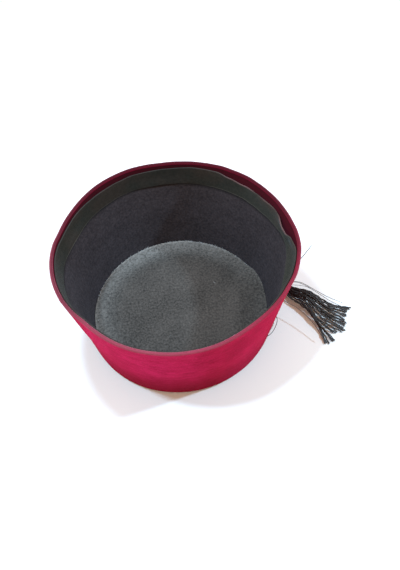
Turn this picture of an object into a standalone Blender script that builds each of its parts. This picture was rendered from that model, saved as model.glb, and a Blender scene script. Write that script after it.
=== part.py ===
"""A felt fez with a tassel, lying on its crown with the opening upwards.

Metres, +Z up. The origin is on the floor, under the middle of the crown. The front of the model faces -Y.
"""

import math

import bmesh
import bpy
from mathutils import Matrix, Vector

MM = 0.001

# Driving dimensions of the cap. The radii are those of the outside of the felt
RIM_RADIUS = 95 * MM
CROWN_RADIUS = 79 * MM
HEIGHT = 90 * MM
FELT = 2.8 * MM
EDGE_ROUND = 3.5 * MM
RIM_UNEVENNESS = 1.2 * MM
RIM_WAVE = 0.4 * MM
GAP = 0.3 * MM

# Linings, and the ribbon with the furthest drop of its two edges below the rim
WALL_LINING = 1.0 * MM
CROWN_LINING = 1.0 * MM
BAND = 1.2 * MM
BAND_TOP_DROP = 7.6 * MM
BAND_BOTTOM_DROP = 20.9 * MM

# Tassel and its cord
CORD_DIAMETER = 3.6 * MM
CORD_ROOM = 0.8 * MM
HEAD_RADIUS = 4.2 * MM
HEAD_LENGTH = 12.5 * MM
SKIRT_LENGTH = 71 * MM
SKIRT_ARCH = 6 * MM
LOCK_ROOT_RADIUS = 1.6 * MM
LOCK_RADIUS = 2.7 * MM
LOCK_TIP_RADIUS = 1.1 * MM
FLOOR_CLEARANCE = 0.1 * MM

# The crown is dished, so that it stands on a ring. The felt also lifts where the cord passes its edge
DISH_DEPTH = CORD_DIAMETER + CORD_ROOM
FOOT_RING = 13 * MM
DISH_SLOPE = 16 * MM
PASSAGE_FLAT = 5.2 * MM
PASSAGE_SLOPE = 16 * MM
LIFT_KNEE = 8 * MM
LIFT_END = 30 * MM

# Steps of the turned and drawn shapes
SEGMENTS = 96
ARC_STEPS = 3
RIM_STEPS = 6
CURVE_STEPS = 20
CORD_STEPS = 13
HEAD_SIDES = 16
LOCK_POINTS = 9
WELD = 0.001 * MM
SHARP_ANGLE = math.radians(40)

# The cord's route, from the crown's centre to the tassel's head: x and y as shares of CROWN_RADIUS, and the
# height of the cord's middle as a share of CORD_DIAMETER
CORD_ROUTE = [
    (0.000, 0.000, 0.56),
    (0.152, 0.047, 0.53),
    (0.329, 0.101, 0.53),
    (0.532, 0.163, 0.53),
    (0.709, 0.218, 0.53),
    (0.835, 0.257, 0.53),
    (0.930, 0.287, 0.58),
    (0.982, 0.301, 0.78),
    (1.023, 0.299, 1.06),
    (1.053, 0.277, 1.17),
    (1.081, 0.253, 1.19),
]
CORD_AZIMUTH = math.radians(17)
HEAD_DIRECTION = math.radians(-41)

# The rim isn't quite round: azimuth in degrees, share of RIM_UNEVENNESS outwards, share of RIM_WAVE upwards
RIM_SHAPE = [
    (-10, 1.00, 0.75),
    (22, 0.33, 0.00),
    (60, -0.50, -0.50),
    (92, -0.58, 0.50),
    (118, 0.83, 1.00),
    (158, -0.92, 0.00),
    (182, 0.58, -0.75),
    (220, -0.58, 0.00),
    (255, 0.75, 0.75),
    (302, -1.00, -0.50),
]

# The ribbon's edges: azimuth in degrees, share of BAND_TOP_DROP, share of BAND_BOTTOM_DROP
BAND_EDGES = [
    (-10, 0.24, 0.91),
    (-1, 0.50, 0.87),
    (5, 0.97, 0.85),
    (11, 1.00, 0.87),
    (16, 0.59, 0.91),
    (22, 0.61, 0.94),
    (30, 0.78, 1.00),
    (38, 0.87, 0.99),
    (46, 0.74, 0.97),
    (53, 0.49, 0.96),
    (60, 0.33, 0.96),
    (75, 0.41, 0.94),
    (90, 0.47, 0.91),
    (105, 0.57, 0.92),
    (118, 0.63, 0.93),
    (130, 0.70, 0.97),
    (150, 0.42, 0.91),
    (165, 0.37, 0.90),
    (180, 0.25, 0.83),
    (230, 0.42, 0.89),
    (285, 0.39, 0.89),
    (330, 0.37, 0.91),
]

# The tassel's head, turned about its length: share of HEAD_LENGTH, share of HEAD_RADIUS
HEAD_PROFILE = [
    (0.00, 0.00),
    (0.00, 0.45),
    (0.06, 0.80),
    (0.25, 1.00),
    (0.50, 0.97),
    (0.66, 0.80),
    (0.80, 0.80),
    (1.00, 0.95),
    (1.08, 0.70),
    (1.08, 0.00),
]

# The skirt's locks: direction in degrees, then shares of SKIRT_LENGTH, SKIRT_ARCH and LOCK_RADIUS
LOCKS = [
    (-27, 0.83, 0.61, 0.70),
    (-31, 0.87, 0.89, 0.90),
    (-35, 0.86, 0.39, 1.00),
    (-38, 0.90, 1.00, 0.95),
    (-42, 0.89, 0.50, 1.00),
    (-45, 0.93, 0.94, 1.00),
    (-48, 0.90, 0.28, 1.00),
    (-52, 0.96, 0.83, 1.00),
    (-55, 0.92, 0.39, 1.00),
    (-59, 0.93, 0.72, 0.90),
    (-62, 1.00, 0.28, 0.90),
    (-66, 0.96, 0.56, 0.75),
    (-71, 0.79, 0.17, 0.60),
]
# Share of the head's length where the locks begin
LOCK_ROOT = 0.55
# Shares of a lock's run: where it leaves the head, is thickest, begins to thin out and lies down
LOCK_MOUTH = 0.12
LOCK_FULL = 0.4
LOCK_THINS = 0.5
LOCK_DOWN = 0.82

WALL_SLOPE = math.atan2(RIM_RADIUS - CROWN_RADIUS, HEIGHT)
DISH_END = CROWN_RADIUS - FOOT_RING
DISH_RADII = [DISH_END - DISH_SLOPE, DISH_END, (DISH_END + CROWN_RADIUS) / 2]


def clear_scene():
    for obj in list(bpy.data.objects):
        bpy.data.objects.remove(obj, do_unlink=True)


def smooth_step(x):
    x = min(max(x, 0.0), 1.0)
    return x * x * (3 - 2 * x)


def around(table, azimuth, column):
    """Value of a table's column at an azimuth in radians, eased between rows and closed round the circle."""
    degrees = math.degrees(azimuth) % 360
    rows = sorted(table, key=lambda row: row[0] % 360)
    for low, high in zip(rows, rows[1:] + rows[:1]):
        span = (high[0] - low[0]) % 360
        along = (degrees - low[0]) % 360
        if along < span:
            return low[column] + (high[column] - low[column]) * smooth_step(along / span)
    return rows[0][column]


def wall_radius(height, inset=0.0):
    """Radius of the wall at a height, moved in from the outside of the felt by inset."""
    return CROWN_RADIUS + height * math.tan(WALL_SLOPE) - inset / math.cos(WALL_SLOPE)


def rim_centre():
    """Middle of the uneven rim's box, so that the rim can be centred over the origin."""
    angles = [math.radians(a) for a in range(360)]
    radii = [RIM_RADIUS + around(RIM_SHAPE, a, 1) * RIM_UNEVENNESS for a in angles]
    xs = [r * math.cos(a) for r, a in zip(radii, angles)]
    ys = [r * math.sin(a) for r, a in zip(radii, angles)]
    return (max(xs) + min(xs)) / 2, (max(ys) + min(ys)) / 2


RIM_CENTRE = rim_centre()


def crown_lift(radius, azimuth):
    """How far the crown's felt stands off the floor: in its dish, and where the cord passes its edge."""
    dish = smooth_step((DISH_END - radius) / DISH_SLOPE)
    turn = abs((azimuth - CORD_AZIMUTH + math.pi) % (2 * math.pi) - math.pi)
    passage = smooth_step((PASSAGE_FLAT + PASSAGE_SLOPE - turn * CROWN_RADIUS) / PASSAGE_SLOPE)
    return DISH_DEPTH * max(dish, passage)


def shaped(point):
    """Moves a point of the round hat to its place on the real, slightly uneven one."""
    radius = math.hypot(point.x, point.y)
    azimuth = math.atan2(point.y, point.x)
    share = point.z / HEIGHT
    low = min(1.0, max(0.0, (LIFT_END - point.z) / (LIFT_END - LIFT_KNEE)))
    radius_now = radius + around(RIM_SHAPE, azimuth, 1) * RIM_UNEVENNESS * share
    rise = around(RIM_SHAPE, azimuth, 2) * RIM_WAVE * share
    return Vector((
        radius_now * math.cos(azimuth) - RIM_CENTRE[0] * share,
        radius_now * math.sin(azimuth) - RIM_CENTRE[1] * share,
        point.z + crown_lift(radius, azimuth) * low + rise,
    ))


def material(name, colour, roughness):
    made = bpy.data.materials.new(name)
    made.use_nodes = True
    shader = made.node_tree.nodes["Principled BSDF"]
    shader.inputs["Base Color"].default_value = (*colour, 1)
    shader.inputs["Roughness"].default_value = roughness
    shader.inputs["Metallic"].default_value = 0
    made.diffuse_color = (*colour, 1)
    return made


def add_object(name, bm, finish):
    """Makes an object of the closed shape in bm, facing outwards."""
    bmesh.ops.recalc_face_normals(bm, faces=bm.faces)
    mesh = bpy.data.meshes.new(name)
    bm.to_mesh(mesh)
    bm.free()
    mesh.materials.append(finish)
    mesh.shade_smooth()
    mesh.set_sharp_from_angle(angle=SHARP_ANGLE)
    obj = bpy.data.objects.new(name, mesh)
    bpy.context.scene.collection.objects.link(obj)
    return obj


def spun(points, closed, axis, steps):
    """Turns a profile round an axis, and merges what lies on it."""
    bm = bmesh.new()
    verts = [bm.verts.new(p) for p in points]
    pairs = list(zip(verts, verts[1:]))
    if closed:
        pairs.append((verts[-1], verts[0]))
    edges = [bm.edges.new(pair) for pair in pairs]
    bmesh.ops.spin(
        bm, geom=verts + edges, cent=(0, 0, 0), axis=axis,
        angle=2 * math.pi, steps=steps, use_merge=True,
    )
    bmesh.ops.remove_doubles(bm, verts=bm.verts, dist=WELD)
    return bm


def turned(name, profile, closed, finish, place=shaped):
    """Spins a profile of (radius, height) about Z, and then moves each point by place."""
    bm = spun([(r, 0, z) for r, z in profile], closed, (0, 0, 1), SEGMENTS)
    bmesh.ops.rotate(bm, verts=bm.verts, cent=(0, 0, 0), matrix=Matrix.Rotation(CORD_AZIMUTH, 3, "Z"))
    for vert in bm.verts:
        vert.co = place(vert.co)
    # Facing surfaces split their bent quads the same way, so that the gap between them holds
    bmesh.ops.triangulate(bm, faces=bm.faces, quad_method="SHORT_EDGE")
    return add_object(name, bm, finish)


def crown_edge():
    """Rounded edge between the crown and the outside of the wall, as an arc of points."""
    slope = WALL_SLOPE
    middle = CROWN_RADIUS + EDGE_ROUND * ((1 - math.sin(slope)) * math.tan(slope) - math.cos(slope))
    turns = [-math.pi / 2 + (math.pi / 2 - slope) * i / ARC_STEPS for i in range(ARC_STEPS + 1)]
    return [(middle + EDGE_ROUND * math.cos(t), EDGE_ROUND + EDGE_ROUND * math.sin(t)) for t in turns]


def rim_edge():
    """Half circle over the rim, from the outside of the felt to its inside."""
    radius = FELT / 2
    height = HEIGHT - radius
    middle = wall_radius(height, radius)
    turns = [-WALL_SLOPE + math.pi * i / RIM_STEPS for i in range(RIM_STEPS + 1)]
    return [(middle + radius * math.cos(t), height + radius * math.sin(t)) for t in turns]


def make_felt_shell():
    outside = [(0, 0)]
    outside += [(r, 0) for r in DISH_RADII]
    outside += crown_edge()
    outside += [(wall_radius(z), z) for z in (LIFT_KNEE, LIFT_END)]
    inside = [(wall_radius(z, FELT), z) for z in (LIFT_END, LIFT_KNEE, FELT)]
    inside += [(r, FELT) for r in reversed(DISH_RADII)]
    inside += [(0, FELT)]
    finish = material("maroon_felt", (0.36, 0.012, 0.055), 0.9)
    return turned("felt_shell", outside + rim_edge() + inside, False, finish)


def ribbon_edge(azimuth, column, drop):
    """Height of the ribbon's upper or lower edge at an azimuth, before the rim's unevenness."""
    return HEIGHT - around(BAND_EDGES, azimuth, column) * drop


def make_wall_lining():
    """The lining ends just under the ribbon's lower edge, and follows it."""
    outer = FELT + GAP
    top = HEIGHT - BAND_BOTTOM_DROP - GAP
    heights = [FELT + GAP, LIFT_KNEE, LIFT_END, top]
    profile = [(wall_radius(z, outer), z) for z in heights]
    profile += [(wall_radius(z, outer + WALL_LINING), z) for z in reversed(heights)]

    def place(point):
        azimuth = math.atan2(point.y, point.x)
        share = max(0.0, (point.z - LIFT_END) / (top - LIFT_END))
        rise = (ribbon_edge(azimuth, 2, BAND_BOTTOM_DROP) - GAP - top) * share
        radius = math.hypot(point.x, point.y) + rise * math.tan(WALL_SLOPE)
        return shaped(Vector((radius * math.cos(azimuth), radius * math.sin(azimuth), point.z + rise)))

    return turned("wall_lining", profile, True, material("black_lining", (0.018, 0.017, 0.021), 0.85), place)


def make_crown_lining():
    low = FELT + GAP
    high = low + CROWN_LINING
    edge = wall_radius(low, FELT + GAP + WALL_LINING + GAP)
    profile = [(0, low)]
    profile += [(r, low) for r in DISH_RADII]
    profile += [(edge, low), (edge, high)]
    profile += [(r, high) for r in reversed(DISH_RADII)]
    profile += [(0, high)]
    return turned("crown_lining", profile, False, material("grey_lining", (0.085, 0.095, 0.09), 0.9))


def make_sweatband():
    """The ribbon stands on the felt's inside. Its round form is stretched to the heights of its edges."""
    outer = FELT + GAP
    low, high = HEIGHT - BAND_BOTTOM_DROP, HEIGHT - BAND_TOP_DROP
    heights = (low, (low + high) / 2, high)
    profile = [(RIM_RADIUS - outer, z) for z in heights]
    profile += [(RIM_RADIUS - outer - BAND, z) for z in reversed(heights)]

    def place(point):
        inset = RIM_RADIUS - math.hypot(point.x, point.y)
        azimuth = math.atan2(point.y, point.x)
        top = ribbon_edge(azimuth, 1, BAND_TOP_DROP)
        bottom = ribbon_edge(azimuth, 2, BAND_BOTTOM_DROP)
        height = bottom + (top - bottom) * (point.z - low) / (high - low)
        radius = wall_radius(height, inset)
        return shaped(Vector((radius * math.cos(azimuth), radius * math.sin(azimuth), height)))

    return turned("sweatband", profile, True, material("grey_ribbon", (0.035, 0.04, 0.035), 0.8), place)


def route_points():
    """The cord's route in metres."""
    return [Vector((x * CROWN_RADIUS, y * CROWN_RADIUS, z * CORD_DIAMETER)) for x, y, z in CORD_ROUTE]


def even_points(line, steps):
    """Points at even steps of a smooth curve through the line's own points."""
    ends = [line[0] * 2 - line[1]] + line + [line[-1] * 2 - line[-2]]
    fine = []
    for a, b, c, d in zip(ends, ends[1:], ends[2:], ends[3:]):
        for i in range(CURVE_STEPS):
            t = i / CURVE_STEPS
            second = (2 * a - 5 * b + 4 * c - d) * t ** 2
            third = (3 * b - a - 3 * c + d) * t ** 3
            fine.append(0.5 * (2 * b + (c - a) * t + second + third))
    fine.append(line[-1])
    run = [0.0]
    for a, b in zip(fine, fine[1:]):
        run.append(run[-1] + (b - a).length)
    found = []
    for i in range(steps + 1):
        wanted = run[-1] * i / steps
        k = max(j for j in range(len(fine) - 1) if run[j] <= wanted)
        found.append(fine[k].lerp(fine[k + 1], (wanted - run[k]) / (run[k + 1] - run[k])))
    return found


def tube(name, points, radii, resolution):
    """A curve with round, filled ends, thick as the radii say."""
    curve = bpy.data.curves.new(name, "CURVE")
    curve.dimensions = "3D"
    curve.bevel_depth = 1.0
    curve.bevel_resolution = resolution
    curve.use_fill_caps = True
    spline = curve.splines.new("POLY")
    spline.points.add(len(points) - 1)
    for spot, point, radius in zip(spline.points, points, radii):
        spot.co = (*point, 1)
        spot.radius = radius
    obj = bpy.data.objects.new(name, curve)
    bpy.context.scene.collection.objects.link(obj)
    return obj


def make_tassel_cord():
    points = even_points(route_points(), CORD_STEPS)
    obj = tube("tassel_cord", points, [CORD_DIAMETER / 2] * len(points), 2)
    obj.data.materials.append(material("black_cord", (0.012, 0.011, 0.012), 0.6))
    return obj


def head_axes():
    """Start of the tassel's head, just past the cord's end, and its directions along and sideways."""
    along = Vector((math.cos(HEAD_DIRECTION), math.sin(HEAD_DIRECTION), 0))
    start = route_points()[-1] + along * GAP * 2
    start.z = HEAD_RADIUS + FLOOR_CLEARANCE
    return start, along, Vector((-along.y, along.x, 0))


def make_tassel_head():
    start, along, side = head_axes()
    bm = spun([(x * HEAD_LENGTH, r * HEAD_RADIUS, 0) for x, r in HEAD_PROFILE], False, (1, 0, 0), HEAD_SIDES)
    turn = Matrix((along, side, (0, 0, 1))).transposed().to_4x4()
    bmesh.ops.transform(bm, matrix=Matrix.Translation(start) @ turn, verts=bm.verts)
    return add_object("tassel", bm, material("black_strands", (0.01, 0.009, 0.01), 0.55))


def lock_line(direction, reach, arch, thickness):
    """Points and radii of a lock, which begins in the head, rises to its arch and lies down at its tip."""
    start, along, _ = head_axes()
    root = start + along * HEAD_LENGTH * LOCK_ROOT
    mouth = start + along * HEAD_LENGTH
    turn = math.radians(direction)
    run = Vector((math.cos(turn), math.sin(turn), 0)) * SKIRT_LENGTH * reach
    points = []
    radii = []
    for i in range(LOCK_POINTS):
        t = i / (LOCK_POINTS - 1)
        spot = root.lerp(mouth, min(1.0, t / LOCK_MOUTH))
        spot += run * max(0.0, (t - LOCK_MOUTH) / (1 - LOCK_MOUTH))
        radius = LOCK_ROOT_RADIUS + (LOCK_RADIUS * thickness - LOCK_ROOT_RADIUS) * smooth_step(t / LOCK_FULL)
        radius += (LOCK_TIP_RADIUS - radius) * smooth_step((t - LOCK_THINS) / (1 - LOCK_THINS))
        rest = LOCK_TIP_RADIUS + (start.z - LOCK_TIP_RADIUS) * smooth_step(1 - t / LOCK_DOWN)
        rise = SKIRT_ARCH * arch * math.sin(math.pi * min(t / LOCK_DOWN, 1.0))
        spot.z = max(rest + rise, radius + FLOOR_CLEARANCE)
        points.append(spot)
        radii.append(radius)
    return points, radii


def make_locks():
    """All locks in one guide object, which is cut into the head and isn't a piece of its own."""
    bm = bmesh.new()
    for row in LOCKS:
        points, radii = lock_line(*row)
        lock = tube("lock", points, radii, 1)
        graph = bpy.context.evaluated_depsgraph_get()
        bm.from_mesh(bpy.data.meshes.new_from_object(lock.evaluated_get(graph)))
        bpy.data.objects.remove(lock, do_unlink=True)
    bmesh.ops.remove_doubles(bm, verts=bm.verts, dist=WELD)
    guide = add_object("locks", bm, material("lock_guide", (0.01, 0.009, 0.01), 0.55))
    guide.hide_render = True
    guide.display_type = "WIRE"
    return guide


def keep_outer_shell(mesh):
    """Deletes the skins of pockets that are closed in between the locks."""
    bm = bmesh.new()
    bm.from_mesh(mesh)
    seen = set()
    shells = []
    for first in bm.faces:
        if first in seen:
            continue
        seen.add(first)
        shell = [first]
        for face in shell:
            near = [other for edge in face.edges for other in edge.link_faces if other not in seen]
            seen.update(near)
            shell.extend(dict.fromkeys(near))
        shells.append(shell)
    shells.sort(key=len)
    for shell in shells[:-1]:
        bmesh.ops.delete(bm, geom=shell, context="FACES")
    bm.to_mesh(mesh)
    bm.free()


def make_tassel():
    """The tassel's head with the skirt's locks fused to it."""
    head = make_tassel_head()
    guide = make_locks()
    fuse = head.modifiers.new("fuse_locks", "BOOLEAN")
    fuse.operation = "UNION"
    fuse.object = guide
    fuse.use_self = True
    graph = bpy.context.evaluated_depsgraph_get()
    head.data = bpy.data.meshes.new_from_object(head.evaluated_get(graph))
    head.modifiers.clear()
    bpy.data.objects.remove(guide, do_unlink=True)
    keep_outer_shell(head.data)
    return head


clear_scene()
make_felt_shell()
make_wall_lining()
make_crown_lining()
make_sweatband()
make_tassel_cord()
make_tassel()
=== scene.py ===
import math
import random

import bmesh
import bpy
from mathutils import Matrix, Quaternion, Vector, noise


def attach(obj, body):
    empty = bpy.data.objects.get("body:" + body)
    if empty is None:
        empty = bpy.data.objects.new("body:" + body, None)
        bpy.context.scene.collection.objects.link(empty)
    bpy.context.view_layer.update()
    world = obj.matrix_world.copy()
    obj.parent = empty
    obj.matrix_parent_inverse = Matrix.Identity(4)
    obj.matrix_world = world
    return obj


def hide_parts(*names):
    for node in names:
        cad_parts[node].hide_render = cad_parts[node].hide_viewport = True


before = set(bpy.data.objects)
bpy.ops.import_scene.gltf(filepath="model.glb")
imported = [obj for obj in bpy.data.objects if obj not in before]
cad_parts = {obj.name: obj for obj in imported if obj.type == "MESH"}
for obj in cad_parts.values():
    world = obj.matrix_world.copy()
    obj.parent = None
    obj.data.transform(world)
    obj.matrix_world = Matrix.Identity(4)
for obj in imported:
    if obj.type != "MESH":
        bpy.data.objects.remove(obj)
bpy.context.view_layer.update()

mm = 0.001

# Camera and light of the photograph
view = {
    "eye": (0.0, -0.2763, 0.4314),
    "target": (0.0175, -0.0065, 0.045),
    "rollDegrees": -3.01,
    "lens": 36.27,
    "sensor": 36.0,
}
studio = {
    "ambient": 0.62,
    "ambientColour": (1.40, 1.05, 0.77),
    "backdrop": (1.0, 1.0, 1.0),
    "lampColour": (0.77, 1.16, 1.46),
    "floorColour": (0.85, 0.85, 0.86),
    "floorRoughness": 0.55,
    "floorSpecular": 0.3,
    "floorHalf": 0.55,
    "floorDrop": 0.0002,
    # place of each lamp, its width and its power
    "lamps": [
        ("high lamp", (-0.134, 0.157, 0.613), 0.07, 1.8),
        ("left lamp", (-0.289, -0.065, 0.886), 0.06, 3.6),
        ("low lamp", (0.90, 0.0, 0.90), 0.08, 8.7),
    ],
}


def makeCamera():
    data = bpy.data.cameras.new("photo camera")
    data.lens = view["lens"]
    data.sensor_width = view["sensor"]
    camera = bpy.data.objects.new("photo camera", data)
    bpy.context.scene.collection.objects.link(camera)
    eye = Vector(view["eye"])
    aim = (Vector(view["target"]) - eye).to_track_quat("-Z", "Y")
    roll = Quaternion((0, 0, 1), math.radians(view["rollDegrees"]))
    camera.location = eye
    camera.rotation_mode = "QUATERNION"
    camera.rotation_quaternion = aim @ roll
    bpy.context.scene.camera = camera


def makeStudio():
    world = bpy.data.worlds.new("white room")
    world.use_nodes = True
    tree = world.node_tree
    back = tree.nodes["Background"]
    ambient = [c * studio["ambient"] for c in studio["ambientColour"]]
    seen = addNode(tree, "ShaderNodeLightPath", {}).outputs["Is Camera Ray"]
    tree.links.new(mixColours(tree, seen, tuple(ambient), studio["backdrop"]), back.inputs["Color"])
    bpy.context.scene.world = world
    bpy.context.scene.view_settings.view_transform = "Standard"
    for name, place, width, power in studio["lamps"]:
        data = bpy.data.lights.new(name, "AREA")
        data.shape = "DISK"
        data.size = width
        data.energy = power
        data.color = studio["lampColour"]
        lamp = bpy.data.objects.new(name, data)
        bpy.context.scene.collection.objects.link(lamp)
        lamp.location = place
        lamp.rotation_mode = "QUATERNION"
        lamp.rotation_quaternion = (-Vector(place)).to_track_quat("-Z", "Y")


# Small tools for materials

def feed(tree, socket, value):
    if isinstance(value, bpy.types.NodeSocket):
        tree.links.new(value, socket)
    else:
        socket.default_value = value


def addNode(tree, kind, inputs, **settings):
    node = tree.nodes.new(kind)
    for key, value in settings.items():
        setattr(node, key, value)
    for key, value in inputs.items():
        feed(tree, node.inputs[key], value)
    return node


def startMaterial(name, colour, roughness, **sockets):
    made = bpy.data.materials.new(name)
    made.use_nodes = True
    shader = made.node_tree.nodes["Principled BSDF"]
    shader.inputs["Base Color"].default_value = (*colour, 1)
    shader.inputs["Roughness"].default_value = roughness
    for key, value in sockets.items():
        shader.inputs[key.replace("_", " ")].default_value = value
    return made, made.node_tree, shader


def objectCoords(tree, stretch=(1, 1, 1)):
    coords = addNode(tree, "ShaderNodeTexCoord", {})
    return addNode(tree, "ShaderNodeMapping", {
        "Vector": coords.outputs["Object"],
        "Scale": stretch,
    }).outputs["Vector"]


def speckle(tree, coords, scale, detail, roughness=0.55):
    return addNode(tree, "ShaderNodeTexNoise", {
        "Vector": coords,
        "Scale": scale,
        "Detail": detail,
        "Roughness": roughness,
    }).outputs["Fac"]


def spread(tree, value, low, high, toLow=0.0, toHigh=1.0):
    return addNode(tree, "ShaderNodeMapRange", {
        "Value": value,
        "From Min": low,
        "From Max": high,
        "To Min": toLow,
        "To Max": toHigh,
    }).outputs["Result"]


def mixColours(tree, factor, first, second, blend="MIX"):
    node = tree.nodes.new("ShaderNodeMix")
    node.data_type = "RGBA"
    node.blend_type = blend
    node.clamp_factor = True
    for index, value in ((0, factor), (6, first), (7, second)):
        if isinstance(value, tuple) and len(value) == 3:
            value = (*value, 1)
        feed(tree, node.inputs[index], value)
    return node.outputs[2]


def sums(tree, operation, *values):
    node = tree.nodes.new("ShaderNodeMath")
    node.operation = operation
    for socket, value in zip(node.inputs, values):
        feed(tree, socket, value)
    return node.outputs[0]


def weighed(tree, parts):
    # Sum of values, each times its weight
    total = sums(tree, "MULTIPLY", *parts[0])
    for value, weight in parts[1:]:
        total = sums(tree, "MULTIPLY_ADD", value, weight, total)
    return total


def shadeBy(tree, colour, bright):
    # The colour made darker or brighter by a number
    grey = addNode(tree, "ShaderNodeCombineColor", {"Red": bright, "Green": bright, "Blue": bright})
    return mixColours(tree, 1.0, colour, grey.outputs[0], "MULTIPLY")


def attribute(tree, name):
    return addNode(tree, "ShaderNodeAttribute", {}, attribute_name=name).outputs["Fac"]


def roundRibs(tree, count):
    # Even ribs round the hat, from 0 to 1, as many as count says
    parts = addNode(tree, "ShaderNodeSeparateXYZ", {"Vector": objectCoords(tree)})
    turn = sums(tree, "ARCTAN2", parts.outputs["Y"], parts.outputs["X"])
    wave = sums(tree, "SINE", sums(tree, "MULTIPLY", turn, float(count)))
    return sums(tree, "MULTIPLY_ADD", wave, 0.5, 0.5)


def straightRibs(tree, axis, pitch):
    parts = addNode(tree, "ShaderNodeSeparateXYZ", {"Vector": objectCoords(tree)})
    wave = sums(tree, "SINE", sums(tree, "MULTIPLY", parts.outputs[axis], 2 * math.pi / pitch))
    return sums(tree, "MULTIPLY_ADD", wave, 0.5, 0.5)


def addBump(tree, shader, height, strength, distance):
    bump = addNode(tree, "ShaderNodeBump", {
        "Height": height,
        "Strength": strength,
        "Distance": distance,
    })
    tree.links.new(bump.outputs["Normal"], shader.inputs["Normal"])


# Small tools for shapes

def smoothStep(x):
    x = min(max(x, 0.0), 1.0)
    return x * x * (3 - 2 * x)


def smoothPath(points, steps):
    # Curve through the points, cut into even steps
    ends = [Vector(p) for p in points]
    ends = [ends[0] * 2 - ends[1]] + ends + [ends[-1] * 2 - ends[-2]]
    fine = []
    cuts = 12
    for a, b, c, d in zip(ends, ends[1:], ends[2:], ends[3:]):
        for i in range(cuts):
            t = i / cuts
            bend = b * 2 + (c - a) * t + (a * 2 - b * 5 + c * 4 - d) * t * t
            fine.append((bend + (b * 3 - a - c * 3 + d) * t * t * t) / 2)
    fine.append(ends[-2])
    run = [0.0]
    for a, b in zip(fine, fine[1:]):
        run.append(run[-1] + (b - a).length)
    found = []
    k = 0
    for i in range(steps + 1):
        wanted = run[-1] * i / steps
        while k < len(fine) - 2 and run[k + 1] < wanted:
            k += 1
        found.append(fine[k].lerp(fine[k + 1], (wanted - run[k]) / (run[k + 1] - run[k])))
    return found


def pathLength(path):
    return sum((b - a).length for a, b in zip(path, path[1:]))


def sweep(bm, path, ring, turns, widths=None):
    # A closed ring of (y, z) points is drawn along the path, turning as it goes
    part = bmesh.new()
    verts = [part.verts.new((0, y, z)) for y, z in ring]
    part.faces.new(verts)
    bmesh.ops.spin(
        part, geom=part.verts[:] + part.edges[:] + part.faces[:], cent=(0, 0, 0), axis=(1, 0, 0),
        dvec=(1, 0, 0), angle=2 * math.pi * turns, steps=len(path) - 1,
    )
    along = [(b - a).normalized() for a, b in zip(path, path[1:])]
    along = [along[0]] + [(a + b).normalized() for a, b in zip(along, along[1:])] + [along[-1]]
    up = Vector((0, 0, 1))
    frames = []
    for direction in along:
        up = (up - direction * up.dot(direction)).normalized()
        frames.append((direction.cross(up), up))
    for vert in part.verts:
        k = round(vert.co.x)
        side, up = frames[k]
        width = 1.0 if widths is None else widths[k]
        vert.co = path[k] + (side * vert.co.y + up * vert.co.z) * width
    bmesh.ops.recalc_face_normals(part, faces=part.faces)
    mesh = bpy.data.meshes.new("swept")
    part.to_mesh(mesh)
    part.free()
    bm.from_mesh(mesh)
    bpy.data.meshes.remove(mesh)


def plyRing(radius, plies, depth, sides):
    # Outline of a twisted cord: as many bulges as plies, depth as a share of the radius
    ring = []
    for i in range(sides):
        turn = 2 * math.pi * i / sides
        r = radius * (1 - depth * (1 - abs(math.cos(turn * plies / 2))))
        ring.append((r * math.cos(turn), r * math.sin(turn)))
    return ring


def finishPiece(name, bm, finish, replaced=(), sharp=50):
    mesh = bpy.data.meshes.new(name)
    bm.to_mesh(mesh)
    bm.free()
    mesh.materials.append(finish)
    mesh.shade_smooth()
    mesh.set_sharp_from_angle(angle=math.radians(sharp))
    piece = bpy.data.objects.new(name, mesh)
    bpy.context.scene.collection.objects.link(piece)
    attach(piece, "root")
    if replaced:
        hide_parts(*replaced)
    return piece


makeCamera()
makeStudio()
print("stage 1: camera and studio")

# The cord comes first. Its route is the part's, in metres, from the crown's centre to the tassel's head
cord = {
    "diameter": 0.0036,
    "route": [
        (-0.0036, -0.0011, 0.0056),
        (0.0000, 0.0000, 0.0040),
        (0.0042, 0.0013, 0.0027),
        (0.0120, 0.0037, 0.0020),
        (0.0260, 0.0080, 0.0019),
        (0.0420, 0.0129, 0.0019),
        (0.0560, 0.0172, 0.0019),
        (0.0660, 0.0203, 0.0019),
        (0.0735, 0.0227, 0.0021),
        (0.0776, 0.0238, 0.0028),
        (0.0808, 0.0236, 0.0038),
        (0.0832, 0.0219, 0.0042),
        (0.0854, 0.0200, 0.0043),
        (0.0904, 0.0157, 0.0043),
        (0.0940, 0.0125, 0.0043),
    ],
    "steps": 260,
    "sides": 24,
    "pitch": 0.0085,
    "plies": 3,
    "plyDepth": 0.32,
    "colour": (0.012, 0.011, 0.013),
    "roughness": 0.5,
}
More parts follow.
